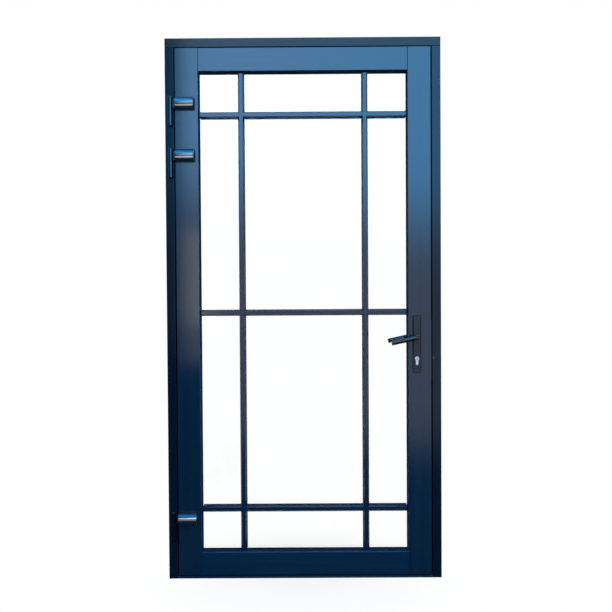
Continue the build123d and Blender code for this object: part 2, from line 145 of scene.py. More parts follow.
floor_points = disc(FLOOR_RADIUS, FLOOR_RINGS, FLOOR_SEGMENTS)
floor_faces = (ring_faces(FLOOR_RINGS, FLOOR_SEGMENTS)[:, ::-1].tolist()
               + fan_faces(len(floor_points) - 1, 0, FLOOR_SEGMENTS, False).tolist())
floor = new_mesh("floor", floor_points.tolist(), floor_faces)
floor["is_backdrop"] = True
print("floor of", len(floor_faces), "faces")

# %% [markdown]
# ## Short words for node trees
# A look in Blender is a tree of nodes, which is usually drawn by hand in the shader editor.
# Written out, each node takes a line to make it, a line for each value and a line for each
# link. These helpers say the same in one line. Sources are linked to a node's inputs in
# their order, and named settings go to the input of that name, or else to the node itself.

# %% Node helpers
WHITE = (1.0, 1.0, 1.0, 1.0)


def add_node(tree, kind, *sources, **settings):
    """One shader node, with its settings made and its first inputs linked to the sources."""
    node = tree.nodes.new(kind)
    for name, value in settings.items():
        label = name.replace("_", " ")
        if label in node.inputs:
            node.inputs[label].default_value = value
        else:
            setattr(node, name, value)
    for socket, source in zip(node.inputs, sources):
        tree.links.new(source, socket)
    return node


def object_place(tree):
    """The point's place on its own object, which here is also its place in the world."""
    return add_node(tree, "ShaderNodeTexCoord").outputs["Object"]


def maths(tree, operation, first, second, **settings):
    """A sum, product or maximum of two values."""
    return add_node(tree, "ShaderNodeMath", first, second, operation=operation, **settings).outputs["Value"]


def ramp(tree, source, low, high, least=0.0, most=1.0, smooth=True):
    """Least where the source is at low, most where it is at high, on a line or a soft curve."""
    kind = "SMOOTHSTEP" if smooth else "LINEAR"
    node = add_node(tree, "ShaderNodeMapRange", source, interpolation_type=kind,
                    From_Min=low, From_Max=high, To_Min=least, To_Max=most)
    return node.outputs["Result"]


def blend(tree, factor, low, high, kind="RGBA"):
    """A mix of two colours or of two values, each of them a constant or a socket."""
    mix = add_node(tree, "ShaderNodeMix", factor, data_type={"RGBA": "RGBA", "VALUE": "FLOAT"}[kind])
    for label, value in (("A", low), ("B", high)):
        socket = next(s for s in mix.inputs if s.name == label and s.type == kind)
        if isinstance(value, bpy.types.NodeSocket):
            tree.links.new(value, socket)
        else:
            socket.default_value = value
    return next(s for s in mix.outputs if s.type == kind)


def mix_shaders(tree, factor, first, second):
    return add_node(tree, "ShaderNodeMixShader", factor, first, second).outputs["Shader"]


def any_ray(tree, ray, kinds):
    """1 for a ray of at least one of these kinds, from a Light Path node."""
    total = ray.outputs[kinds[0]]
    for kind in kinds[1:]:
        total = maths(tree, "MAXIMUM", total, ray.outputs[kind])
    return total


def empty_tree(owner):
    """The node tree of a material or a world, with nothing in it yet."""
    owner.use_nodes = True
    owner.node_tree.nodes.clear()
    return owner.node_tree


print("helpers for", bpy.app.version_string)

# %% [markdown]
# ## The floor's colour
# The floor turns to plain white with distance, for rays from the camera and through the
# glass only, so the shadow under the door stays. In mirrored light the near part of the
# floor is dark instead, because the lower third of the door in the photo mirrors something
# deep and dark.

# %% Floor colour
FLOOR_PALE = (0.86, 0.86, 0.86, 1.0)
FLOOR_MIRRORED = (0.035, 0.05, 0.06, 1.0)
SEEN_WHITE = (0.05, 0.75, 0.84)
MIRRORED_WHITE = (2.1, 4.0, 0.0)

floor_paint = bpy.data.materials.new("floor")
tree = empty_tree(floor_paint)
distance = add_node(tree, "ShaderNodeVectorMath", object_place(tree), operation="LENGTH").outputs["Value"]
ray = add_node(tree, "ShaderNodeLightPath")


def white_share(kinds, near, far, least):
    """How white the floor is for some kinds of ray: least up to near, all white from far."""
    return maths(tree, "MULTIPLY", ramp(tree, distance, near, far, least), any_ray(tree, ray, kinds))


share = maths(tree, "MAXIMUM",
              white_share(["Is Camera Ray", "Is Transmission Ray", "Is Singular Ray"], *SEEN_WHITE),
              white_share(["Is Glossy Ray"], *MIRRORED_WHITE))
shade = blend(tree, ray.outputs["Is Glossy Ray"], FLOOR_PALE, FLOOR_MIRRORED)
matt = add_node(tree, "ShaderNodeBsdfDiffuse", shade).outputs["BSDF"]
white = add_node(tree, "ShaderNodeEmission", Strength=1.0).outputs["Emission"]
add_node(tree, "ShaderNodeOutputMaterial", mix_shaders(tree, share, matt, white))
floor.data.materials.append(floor_paint)
print("floor is all white from", SEEN_WHITE[1], "m")

# %% [markdown]
# ## The world
# The world is plain white where the camera or the glass looks at it, and a soft even light
# for matt surfaces. What the paint mirrors is a third thing: a pale horizon under two layers
# of blue, the upper one deeper. Those layers only tell on surfaces that look upwards, such
# as the round hinge covers, where they give the blue band above the pale one.

# %% World
SKY_LIGHT = 0.75
HORIZON = (WHITE, 1.0)
MIRRORED_SKY = [((0.15, 0.56, 1.0, 1.0), 5.5, (0.36, 0.50)), ((0.0, 0.33, 1.0, 1.0), 3.8, (0.66, 0.95))]

world = bpy.data.worlds.new("world")
bpy.context.scene.world = world
tree = empty_tree(world)


def background(colour, strength):
    return add_node(tree, "ShaderNodeBackground", Color=colour, Strength=strength).outputs["Background"]


way = add_node(tree, "ShaderNodeTexCoord").outputs["Generated"]
upward = add_node(tree, "ShaderNodeSeparateXYZ", way).outputs["Z"]
ray = add_node(tree, "ShaderNodeLightPath")
mirrored = background(*HORIZON)
for colour, strength, band in MIRRORED_SKY:
    mirrored = mix_shaders(tree, ramp(tree, upward, *band), mirrored, background(colour, strength))
white = background(WHITE, 1.0)
shown = mix_shaders(tree, ray.outputs["Is Glossy Ray"], background(WHITE, SKY_LIGHT), mirrored)
shown = mix_shaders(tree, ray.outputs["Is Singular Ray"], shown, white)
shown = mix_shaders(tree, any_ray(tree, ray, ["Is Camera Ray", "Is Transmission Ray"]), shown, white)
add_node(tree, "ShaderNodeOutputWorld", shown)
print("world with", len(MIRRORED_SKY), "mirrored layers over its horizon")

# %% [markdown]
# ## Lamps
# Glossy paint shows the lamps in it, so their edges matter as much as their strength. The
# big panel stands in for the open sky: it fades out downwards, which turns the paint from
# mid blue at the top to near black at the foot, and its tint shifts from left to right. A
# little roll about its own middle makes that fade lower on one stile than on the other, as
# in the photo. A small warm panel in front of the hinge side gives the greyish middle of
# the left stile, and a weak one behind lights the inner side of the door.

# %% Lamps
SKY_LEFT, SKY_RIGHT = (0.16, 0.52, 1.0, 1.0), (0.055, 0.475, 1.0, 1.0)
TINT_FROM, TINT_TO = 0.15, 0.55
SKY_FADE = 0.35


def soft_panel(name, place, aim, width, height, watts, colour, roll=0.0):
    """A rectangular lamp at place, turned to shine on the point aim and rolled about that line."""
    lamp = bpy.data.lights.new(name, "AREA")
    lamp.shape = "RECTANGLE"
    lamp.size, lamp.size_y = width, height
    lamp.energy, lamp.color = watts, colour
    o = bpy.data.objects.new(name, lamp)
    bpy.context.scene.collection.objects.link(o)
    away = np.array(place) - np.array(aim)
    heading = math.atan2(away[0], -away[1])
    tilt = math.atan2(math.hypot(away[0], away[1]), away[2])
    o.matrix_world = (Matrix.Translation(place) @ Matrix.Rotation(heading, 4, "Z")
                      @ Matrix.Rotation(tilt, 4, "X") @ Matrix.Rotation(roll, 4, "Z"))
    return o


def shade_panel(panel, low, high, least=0.0, tints=None):
    """Dims a panel below a share of its height, and changes its colour from left to right."""
    panel.data.use_nodes = True
    tree = panel.data.node_tree
    place = add_node(tree, "ShaderNodeNewGeometry").outputs["Parametric"]
    across = add_node(tree, "ShaderNodeSeparateXYZ", place).outputs
    glow = tree.nodes["Emission"].inputs
    tree.links.new(ramp(tree, across["Y"], low, high, least), glow["Strength"])
    if tints:
        factor = ramp(tree, across["X"], TINT_FROM, TINT_TO, smooth=False)
        tree.links.new(blend(tree, factor, *tints), glow["Color"])


sky = soft_panel("sky_panel", place=(0.95, -4.6, 2.75), aim=(0.95, 0, 2.75), width=4.9, height=2.9,
                 watts=290, colour=(1.0, 1.0, 1.0), roll=-0.13)
shade_panel(sky, 0.0, SKY_FADE, tints=(SKY_LEFT, SKY_RIGHT))
soft_panel("wall_panel", place=(-0.56, -1.25, 1.19), aim=(-0.56, 0, 1.19), width=0.15, height=0.5,
           watts=0.38, colour=(1.0, 0.97, 0.92))
soft_panel("back_panel", place=(2.4, 3.6, 3.4), aim=(0, 0, 1.0), width=1.6, height=1.6,
           watts=60, colour=(1.0, 0.98, 0.95))
print(len(bpy.data.lights), "soft panels")

# %% [markdown]
# ## Cards at both sides
# In a studio, dark cards beside a glossy object give it edges, as paint that mirrors a card
# stays dark there. These two are bent, so that turned faces mirror them too. Only mirrored
# rays see them: they cast no shadow and hide nothing. Their upper parts glow a little blue,
# for the jambs, which are never quite black at the top of the photo.

# %% Cards
CARD_FADE = (1.25, 1.9)
CARD_FRONT, CARD_BACK, CARD_REACH, CARD_TOP = -1.3, 4.0, 3.0, 2.7
LEFT_EDGE, FOOT_EDGE, FOOT_TOP, RIGHT_EDGE = -0.66, -0.42, 0.74, 0.95


def mirrored_card(name, corners, polygons, glow):
    """A bent card that is seen in mirrored light only; its upper part glows a little."""
    o = new_mesh(name, corners, polygons)
    material = bpy.data.materials.new(name)
    tree = empty_tree(material)
    height = add_node(tree, "ShaderNodeSeparateXYZ", object_place(tree)).outputs["Z"]
    glowing = add_node(tree, "ShaderNodeEmission", Color=glow)
    tree.links.new(ramp(tree, height, *CARD_FADE), glowing.inputs["Strength"])
    clear = add_node(tree, "ShaderNodeBsdfTransparent").outputs["BSDF"]
    sharp = add_node(tree, "ShaderNodeLightPath").outputs["Is Singular Ray"]
    add_node(tree, "ShaderNodeOutputMaterial", mix_shaders(tree, sharp, glowing.outputs["Emission"], clear))
    o.data.materials.append(material)
    o.visible_camera = o.visible_diffuse = o.visible_shadow = o.visible_transmission = False
    o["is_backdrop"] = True


left_front = [(-CARD_REACH, 0), (LEFT_EDGE, 0), (FOOT_EDGE, 0), (FOOT_EDGE, FOOT_TOP), (LEFT_EDGE, FOOT_TOP),
              (LEFT_EDGE, CARD_TOP), (-CARD_REACH, CARD_TOP)]
right_front = [(RIGHT_EDGE, 0), (CARD_REACH, 0), (CARD_REACH, CARD_TOP), (RIGHT_EDGE, CARD_TOP)]
for name, front, x, polygons, glow in (
        ("left_card", left_front, -CARD_REACH, [(0, 1, 4, 5, 6), (1, 2, 3, 4), (0, 6, 8, 7)],
         (0.05, 0.5, 1.0, 1.0)),
        ("right_card", right_front, CARD_REACH, [(0, 1, 2, 3), (1, 4, 5, 2)], (0.05, 0.2, 0.4, 1.0))):
    corners = [(x0, CARD_FRONT, z) for x0, z in front] + [(x, CARD_BACK, z) for z in (0, CARD_TOP)]
    mirrored_card(name, corners, polygons, glow)
view = bpy.context.scene.view_settings
view.view_transform = "Standard"
print("two cards and the", view.view_transform, "view")

# %% [markdown]
# ## Shared effects
# Painted metal is never one flat colour. A few effects do most of the work on every finish
# here, so each is a node group that is built once and placed in the materials with values
# of its own. The first is streaks: noise that is stretched along a profile, as rollers,
# rain and wiping leave it.

# %% Streaks


def start_group(name, inputs, outputs):
    """An empty shader group with float, vector or colour sockets."""
    kinds = {"float": "NodeSocketFloat", "vector": "NodeSocketVector", "color": "NodeSocketColor"}
    group = bpy.data.node_groups.new(name, "ShaderNodeTree")
    for label, kind, value in inputs:
        socket = group.interface.new_socket(name=label, in_out="INPUT", socket_type=kinds[kind])
        socket.default_value = value
    for label, kind in outputs:
        group.interface.new_socket(name=label, in_out="OUTPUT", socket_type=kinds[kind])
    return group, group.nodes.new("NodeGroupInput").outputs, group.nodes.new("NodeGroupOutput").inputs


def streaks_group():
    """Noise stretched along one direction: two sizes of it mixed, from 0 to 1."""
    group, given, made = start_group(
        "profile_streaks",
        [("Stretch", "vector", (60.0, 60.0, 1.5)), ("Fine Share", "float", 0.35)], [("Value", "float")])
    long = add_node(group, "ShaderNodeVectorMath", object_place(group), given["Stretch"],
                    operation="MULTIPLY").outputs["Vector"]
    broad = add_node(group, "ShaderNodeTexNoise", long, Scale=1.0, Detail=3.0, Roughness=0.5)
    fine = add_node(group, "ShaderNodeTexNoise", long, Scale=7.0, Detail=4.0, Roughness=0.6)
    both = blend(group, given["Fine Share"], broad.outputs["Fac"], fine.outputs["Fac"], "VALUE")
    group.links.new(both, made["Value"])
    return group


STREAKS = streaks_group()
print("group", STREAKS.name, "of", len(STREAKS.nodes), "nodes")

# %% [markdown]
# ## Worn edges
# Real arrises are never sharp. The normal is rounded over a small radius, which gives each
# edge its line of light, and where that normal leaves the face's own there is an edge. Noise
# breaks the mask up, so that the wear comes and goes along it.

# %% Worn edges


def edges_group():
    """Where the normal rounded over a small radius leaves the face's own, broken up by noise."""
    group, given, made = start_group(
        "worn_edges",
        [("Radius", "float", 0.0012), ("Amount", "float", 0.5), ("Patch Scale", "float", 40.0)],
        [("Mask", "float"), ("Normal", "vector")])
    soft = add_node(group, "ShaderNodeBevel", given["Radius"], samples=4).outputs["Normal"]
    face = add_node(group, "ShaderNodeNewGeometry").outputs["Normal"]
    dot = add_node(group, "ShaderNodeVectorMath", soft, face, operation="DOT_PRODUCT").outputs["Value"]
    bend = ramp(group, dot, 0.995, 0.80, smooth=False)
    patches = add_node(group, "ShaderNodeTexNoise", object_place(group), Detail=4.0, Roughness=0.65)
    group.links.new(given["Patch Scale"], patches.inputs["Scale"])
    broken = ramp(group, patches.outputs["Fac"], 0.35, 0.7, smooth=False)
    worn = maths(group, "MULTIPLY", maths(group, "MULTIPLY", bend, broken), given["Amount"])
    group.links.new(worn, made["Mask"])
    group.links.new(soft, made["Normal"])
    return group


EDGES = edges_group()
print("group", EDGES.name, "of", len(EDGES.nodes), "nodes")

# %% [markdown]
# ## Dust, and faces that are turned away
# Dust settles on what looks up, in clouds. The same group tells which faces are turned off
# the front and the back, such as ledges and rebates, because those faces get a painted
# reflection of the sky in their colour.

# %% Dust and turned faces


def dust_group():
    """Mask: upward part of the normal times a cloudy noise. Reveal: 1 on faces turned off front and back."""
    group, given, made = start_group(
        "settled_dust",
        [("Amount", "float", 0.4), ("Scale", "float", 25.0)], [("Mask", "float"), ("Reveal", "float")])
    face = add_node(group, "ShaderNodeNewGeometry").outputs["Normal"]
    parts = add_node(group, "ShaderNodeSeparateXYZ", face).outputs
    up = ramp(group, parts["Z"], 0.0, 0.9, least=0.03, smooth=False)
    cloud = add_node(group, "ShaderNodeTexNoise", object_place(group), Detail=6.0, Roughness=0.7)
    group.links.new(given["Scale"], cloud.inputs["Scale"])
    dusty = maths(group, "MULTIPLY", up, cloud.outputs["Fac"])
    group.links.new(maths(group, "MULTIPLY", dusty, given["Amount"], use_clamp=True), made["Mask"])
    facing = add_node(group, "ShaderNodeMath", parts["Y"], operation="ABSOLUTE").outputs["Value"]
    group.links.new(ramp(group, facing, 0.45, 0.15), made["Reveal"])
    return group


DUST = dust_group()
print("group", DUST.name, "of", len(DUST.nodes), "nodes")

# %% [markdown]
# ## A painted highlight
# The lock jamb has one small pale spot beside the cylinder, a painted highlight. A mask of
# the distance from a place gives it, with noise added to the distance so that its rim is ragged.

# %% Painted highlight


def highlight_spot_group():
    """1 near a place and 0 some two radii away, with the distance pushed about by noise."""
    group, given, made = start_group(
        "painted_highlight",
        [("Place", "vector", (0.0, 0.0, 0.0)), ("Radius", "float", 0.004), ("Amount", "float", 0.5)],
        [("Mask", "float")])
    reach = add_node(group, "ShaderNodeVectorMath", object_place(group), given["Place"],
                     operation="DISTANCE").outputs["Value"]
    cloud = add_node(group, "ShaderNodeTexNoise", object_place(group), Scale=260.0, Detail=4.0)
    ragged = maths(group, "ADD", maths(group, "DIVIDE", reach, given["Radius"]), cloud.outputs["Fac"])
    group.links.new(maths(group, "MULTIPLY", ramp(group, ragged, 2.4, 1.2), given["Amount"]), made["Mask"])
    return group


HIGHLIGHT_SPOT = highlight_spot_group()
print("group", HIGHLIGHT_SPOT.name, "of", len(HIGHLIGHT_SPOT.nodes), "nodes")

# %% [markdown]
# ## A recipe for painted metal
# The profiles are coated in a semi-gloss navy that is nearly black by itself. Most of the
# blue in the photo is mirrored sky, so the base colour is very dark and the shader is a
# plain dielectric of low roughness. The streaks shift its colour and its roughness
# together, the edge group softens and lifts the arrises, and the bump is the fine orange
# peel of powder coating. Ledges, rebates and the sides of bars would mirror the white
# background as grey lines, which the photo doesn't have. On the leaf and its bars the
# recipe turns such faces to a matt metal tinted a brighter blue, a painted reflection of
# the sky, whose mirrored light is blue at every angle.

# %% Recipe
EVEN = (30.0, 30.0, 30.0)
STREAK_RANGE = (0.3, 0.7)
ROUGHER, SMOOTHER = 0.05, 0.04
REVEAL_ROUGHNESS = 0.95
PEEL_HEIGHT = 0.0002
# Dust on upward faces; its grey is dust and its blue tint is a painted reflection of the sky.
DUST_AND_SKY_TINT = (0.03, 0.055, 0.08, 1.0)


def finish_material(name, light, dark, wear_colour, roughness, metallic=0.0, stretch=EVEN, wear=0.5,
                    dust=0.35, peel=0.15, peel_scale=900.0, edge_radius=0.0012, coat=0.0, gloss=0.5,
                    painted_sky_on_reveals=None, painted_highlight=None):
    """One coated or metal finish: streaked colour, worn edges, dust and a fine bump."""
    material = bpy.data.materials.new(name)
    material.use_nodes = True
    tree = material.node_tree
    shader = tree.nodes["Principled BSDF"].inputs
    streaks = add_node(tree, "ShaderNodeGroup", node_tree=STREAKS, Stretch=stretch).outputs["Value"]
    edges = add_node(tree, "ShaderNodeGroup", node_tree=EDGES, Radius=edge_radius, Amount=wear).outputs
    settled = add_node(tree, "ShaderNodeGroup", node_tree=DUST, Amount=dust).outputs
    colour = blend(tree, ramp(tree, streaks, *STREAK_RANGE, smooth=False), dark, light)
    colour = blend(tree, edges["Mask"], colour, wear_colour)
    colour = blend(tree, settled["Mask"], colour, DUST_AND_SKY_TINT)
    rough = ramp(tree, streaks, 0.0, 1.0, roughness - SMOOTHER, roughness + ROUGHER, smooth=False)
    shader["Metallic"].default_value = metallic
    # Faces turned off the front and the back take a brighter blue metal, a painted reflection of the sky.
    if painted_sky_on_reveals:
        colour = blend(tree, settled["Reveal"], colour, painted_sky_on_reveals)
        rough = blend(tree, settled["Reveal"], rough, REVEAL_ROUGHNESS, "VALUE")
        tree.links.new(settled["Reveal"], shader["Metallic"])
    # The pale spot is a painted highlight.
    if painted_highlight:
        place, radius, amount, highlight_colour = painted_highlight
        spot = add_node(tree, "ShaderNodeGroup", node_tree=HIGHLIGHT_SPOT, Place=place, Radius=radius, Amount=amount)
        colour = blend(tree, spot.outputs["Mask"], colour, highlight_colour)
    tree.links.new(colour, shader["Base Color"])
    tree.links.new(rough, shader["Roughness"])
    grain = add_node(tree, "ShaderNodeTexNoise", object_place(tree), Scale=peel_scale, Detail=2.0)
    bump = add_node(tree, "ShaderNodeBump", Strength=peel, Distance=PEEL_HEIGHT)
    tree.links.new(grain.outputs["Fac"], bump.inputs["Height"])
    tree.links.new(edges["Normal"], bump.inputs["Normal"])
    tree.links.new(bump.outputs["Normal"], shader["Normal"])
    shader["Coat Weight"].default_value = coat
    shader["Specular IOR Level"].default_value = gloss
    return material


def linear(red, green, blue):
    """A colour written from 0 to 255, as the linear values that a socket takes."""
    c = np.array([red, green, blue]) / 255
    c = np.where(c <= 0.04045, c / 12.92, ((c + 0.055) / 1.055) ** 2.4)
    return (*c.tolist(), 1.0)


print("mid grey is", [round(v, 3) for v in linear(128, 128, 128)], "in linear values")

# %% [markdown]
# ## The paints
# Uprights and lying pieces have streaks that run their own way. The leaf's rails and lying
# beads take a lighter copy of its navy, which is painted light. The frame's paint mirrors
# less than the leaf's and its navy is darker, painted shade of the wall opening round it,
# which sets it back in the picture, and the head is greyer, painted shade under the lintel.
# Hinge covers are the glossiest thing on the door, their barrels are plainer, and plates
# and levers have a satin coating that is close to black; the strike plate takes it too, as
# painted shade in the gap beside the leaf.

# %% Paints
UPRIGHT, LYING = (45.0, 45.0, 1.2), (1.2, 45.0, 45.0)
SOFT_EDGE = linear(30, 66, 92)
# A brighter blue for ledges, rebates and the sides of bars: a painted reflection of the sky.
REVEAL_PAINTED_SKY = (0.0, 0.050, 0.110, 1.0)
# A small pale spot on the lock jamb's side: a painted highlight.
PAINTED_HIGHLIGHT_SPOT = ((0.5027, -0.040, 0.860), 0.0045, 0.6, (0.035, 0.055, 0.065, 1.0))
FINE_EDGE = 0.0008
NAVY = ((0.0006, 0.0165, 0.037, 1.0), (0.0004, 0.0110, 0.026, 1.0), SOFT_EDGE)
# A lighter copy of the leaf's navy for its rails and lying beads: painted light.
LYING_NAVY_PAINTED_LIGHT = ((0.0006, 0.0200, 0.046, 1.0), (0.0004, 0.0135, 0.033, 1.0), SOFT_EDGE)
# The frame is a darker navy than the leaf, painted shade of the wall opening round it, and the head a greyer
# one, painted shade under the lintel.
FRAME_NAVY_PAINTED_SHADE = ((0.0004, 0.0075, 0.018, 1.0), (0.0003, 0.0055, 0.0135, 1.0), SOFT_EDGE)
HEAD_GREY_PAINTED_SHADE = ((0.0160, 0.0160, 0.017, 1.0), (0.0110, 0.0120, 0.013, 1.0), SOFT_EDGE)
COVER_NAVY = ((0.001, 0.010, 0.024, 1.0), (0.001, 0.007, 0.018, 1.0), SOFT_EDGE)
BARREL_NAVY = ((0.0004, 0.003, 0.008, 1.0), (0.0003, 0.002, 0.006, 1.0), SOFT_EDGE)

paint = {
    "leaf_upright": finish_material("leaf_paint_upright", *NAVY, 0.14, stretch=UPRIGHT, painted_sky_on_reveals=REVEAL_PAINTED_SKY),
    "leaf_lying": finish_material("leaf_paint_lying_painted_light", *LYING_NAVY_PAINTED_LIGHT, 0.14, stretch=LYING, painted_sky_on_reveals=REVEAL_PAINTED_SKY),
    "bar_upright": finish_material("bar_paint_upright", *NAVY, 0.15, stretch=UPRIGHT, painted_sky_on_reveals=REVEAL_PAINTED_SKY),
    "bar_lying": finish_material("bar_paint_lying", *NAVY, 0.15, stretch=LYING, painted_sky_on_reveals=REVEAL_PAINTED_SKY),
    "frame_upright": finish_material("frame_paint_shaded_upright", *FRAME_NAVY_PAINTED_SHADE, 0.14, stretch=UPRIGHT, gloss=0.24,
                                     painted_highlight=PAINTED_HIGHLIGHT_SPOT),
    "frame_lying": finish_material("frame_paint_shaded_lying", *HEAD_GREY_PAINTED_SHADE, 0.16, stretch=LYING, gloss=0.20),
    "hinge": finish_material("hinge_paint", *COVER_NAVY, 0.10, coat=0.5, gloss=1.0, peel=0.05,
                             edge_radius=FINE_EDGE, wear=0.2),
    "barrel": finish_material("hinge_barrel_paint", *BARREL_NAVY, 0.12, gloss=0.45,
                              edge_radius=FINE_EDGE, wear=0.1),
    "lever": finish_material("lever_coating", linear(11, 12, 16), linear(8, 8, 12), linear(40, 40, 44),
                             0.24, wear=0.4, edge_radius=FINE_EDGE, gloss=0.42),
    "plate": finish_material("plate_coating", linear(30, 31, 37), linear(23, 24, 30), linear(58, 58, 62),
                             0.28, wear=0.4, edge_radius=FINE_EDGE, gloss=0.34),
    "cap": finish_material("cap_plastic", linear(20, 22, 26), linear(14, 16, 20), linear(44, 46, 50),
                           0.45, wear=0.3, dust=0.2, peel=0.2, peel_scale=700.0, gloss=0.15),
    "threshold": finish_material("threshold_coating", *NAVY[:2], linear(80, 90, 96), 0.35,
                                 stretch=LYING, wear=0.6, dust=0.5),
}
print("painted finishes:", sorted(paint))

# %% [markdown]
# ## Bare metal and rubber
# The lock cylinder is nickel, the faceplate and its bolts are brushed steel, and the hinge
# pins, the lever's spindle and the screws are turned steel. They use the same recipe with
# Metallic at 1, where the streaks read as brushing. Rubber has next to no shine. It has
# the same recipe too, with a high roughness.

# %% Metal and rubber
BRUSHED, TURNED = (400.0, 400.0, 6.0), (20.0, 20.0, 300.0)

steel = {
    "nickel": finish_material("cylinder_nickel", linear(206, 212, 216), linear(176, 184, 190),
                              linear(232, 236, 238), 0.22, 1.0, wear=0.4, dust=0.1, peel=0.05),
    "brushed": finish_material("lock_steel", linear(178, 178, 176), linear(150, 150, 149),
                               linear(220, 220, 218), 0.32, 1.0, BRUSHED, dust=0.15, peel=0.08),
    "turned": finish_material("pin_steel", linear(150, 151, 153), linear(120, 121, 123),
                              linear(200, 200, 200), 0.28, 1.0, TURNED, wear=0.4, dust=0.2, peel=0.08),
    "spacer": finish_material("spacer_metal", linear(170, 172, 174), linear(150, 152, 154),
                              linear(200, 200, 200), 0.4, 1.0, LYING, wear=0.1, dust=0.0, peel=0.1),
}
rubber = finish_material("seal_rubber", linear(26, 27, 30), linear(18, 19, 22), linear(34, 36, 40), 0.72,
                         wear=0.2, dust=0.4, peel=0.35, peel_scale=500.0, gloss=0.12)
print("metals:", sorted(steel), "and rubber")

# %% [markdown]
# ## Glass
# Glass needs a shader of its own. It stays clear, and only faint smears change its tint and
# how rough it is, which shows where a lamp is mirrored in it.

# %% Glass
SMEAR_SCALE = 3.0
SMEAR_RANGE, SMEAR_ROUGHNESS = (0.55, 0.9), 0.05
GLASS_TINTS = (0.992, 0.998, 0.996, 1.0), (0.998, 1.0, 0.999, 1.0)

glass = bpy.data.materials.new("clear_glass")
glass.use_nodes = True
tree = glass.node_tree
shader = tree.nodes["Principled BSDF"].inputs
shader["Transmission Weight"].default_value = 1.0
shader["IOR"].default_value = 1.35
smears = add_node(tree, "ShaderNodeTexNoise", object_place(tree), Scale=SMEAR_SCALE, Detail=6.0,
                  Roughness=0.65).outputs["Fac"]
tree.links.new(ramp(tree, smears, *SMEAR_RANGE, most=SMEAR_ROUGHNESS, smooth=False), shader["Roughness"])
tree.links.new(blend(tree, smears, *GLASS_TINTS), shader["Base Color"])
print(glass.name, "of", len(tree.nodes), "nodes")

# %% [markdown]
# ## Dressing the solids
# Each solid keeps its own mesh and only its material slots change. Uprights take the
# version of a paint whose streaks run up, and rails the one whose streaks run along.

# %% Materials on the solids
finish_of = {
    "frame_jamb": paint["frame_upright"],
    "frame_head": paint["frame_lying"],
    "threshold": paint["threshold"],
    "frame_seal": rubber,
    # The strike plate takes the dark plate coating as painted shade, for the shaded gap it sits in.
    "strike_plate": paint["plate"],
    "leaf_stile": paint["leaf_upright"],
    "leaf_rail": paint["leaf_lying"],
    "glass_pane": glass,
    "glass_spacer": steel["spacer"],
    "glazing_gasket": rubber,
    "glazing_beads_upright": paint["leaf_upright"],
    "glazing_beads_lying": paint["leaf_lying"],
    "glazing_bar_left": paint["bar_upright"],
    "glazing_bar_right": paint["bar_upright"],
    "glazing_bar": paint["bar_lying"],
    "hinge_leaf_part": paint["barrel"],
    "hinge_frame_part": paint["barrel"],
    "hinge_pin": steel["turned"],
    "handle_plate": paint["plate"],
    "lever_spindle": steel["turned"],
    "lever": paint["lever"],
    "lock_cylinder": steel["nickel"],
    "lock": steel["brushed"],
}
for name, o in nodes.items():
    start = next(s for s in finish_of if name.startswith(s))
    o.data.materials.clear()
    o.data.materials.append(finish_of[start])
print("dressed", len(nodes), "solids in", len(set(m.name for m in finish_of.values())), "finishes")

# %% [markdown]
# ## Small pieces from grids of points
# The solids stop where the fine hardware begins. A screw, a cap or a lever could be
# modelled by hand from a cylinder, but each of them is a surface that a short formula
# gives, and a formula keeps every size as a number that can be changed. So each piece is
# a stack of rings: one parameter runs along a profile or a path, the other round it. The
# rings are worked out as whole arrays, joined by quads, and closed by a middle point.

# %% Rings and shells


def closed_shell(rings):
    """Joins rings, given as (ring, point, xyz), by quads and closes both ends with a middle point."""
    rows, columns = rings.shape[:2]
    points = np.vstack([rings.reshape(-1, 3), rings[:1].mean(1), rings[-1:].mean(1)])
    fans = np.vstack([fan_faces(rows * columns, 0, columns, True),
                      fan_faces(rows * columns + 1, (rows - 1) * columns, columns, False)])
    return points, ring_faces(rows, columns).tolist() + fans.tolist()


def closed_loop(rings):
    """Joins rings by quads and the last one to the first, as for the rim of a plate or a washer."""
    rows, columns = rings.shape[:2]
    i, j = np.meshgrid(np.arange(rows), np.arange(columns), indexing="ij")
    low, high, k = i * columns, (i + 1) % rows * columns, (j + 1) % columns
    return rings.reshape(-1, 3), np.stack([low + j, low + k, high + k, high + j], -1).reshape(-1, 4).tolist()


def lathe(profile, segments=48):
    """Rings of a turned piece: (r cos a, r sin a, h) for each (r, h) of the profile, in millimetres."""
    r, h = np.array(profile, float).T[:, :, None] * MM
    a = np.linspace(0, 2 * np.pi, segments, endpoint=False)[None, :]
    return np.stack([r * np.cos(a), r * np.sin(a), h + 0 * a], -1)


print("two rings of a lathe close to", len(closed_shell(lathe([(4, 0), (4, 1)]))[1]), "faces")

# %% [markdown]
# ## Putting a piece in its place
# Rings are drawn about +Z at the origin, and are then turned and moved as points, so the
# finished object itself stays at the origin. A piece rides on the body that carries it.

# %% Placing pieces
SHARP_ANGLE = math.radians(35)


def turned(rings, origin, axis):
    """Moves what was drawn about +Z so that +Z lies along the axis, with its foot at the origin."""
    w = np.array(axis, float)
    u = np.cross((0.0, 0.0, 1.0) if abs(w[2]) < 0.9 else (1.0, 0.0, 0.0), w)
    u /= np.linalg.norm(u)
    return rings @ np.stack([u, np.cross(w, u), w]) + np.array(origin)


def add_piece(name, parts, body, material):
    """One object of several (points, faces) parts, which rides on a body and takes a finish."""
    starts = np.cumsum([0] + [len(points) for points, _ in parts])
    faces = [[start + k for k in face] for start, (_, some) in zip(starts.tolist(), parts) for face in some]
    o = new_mesh(name, np.vstack([points for points, _ in parts]).tolist(), faces)
    o.data.polygons.foreach_set("use_smooth", np.ones(len(faces), bool))
    o.data.set_sharp_from_angle(angle=SHARP_ANGLE)
    o.data.materials.append(material)
    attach(o, body)
    print(name, "has", len(faces), "faces and rides on", body)
    return o


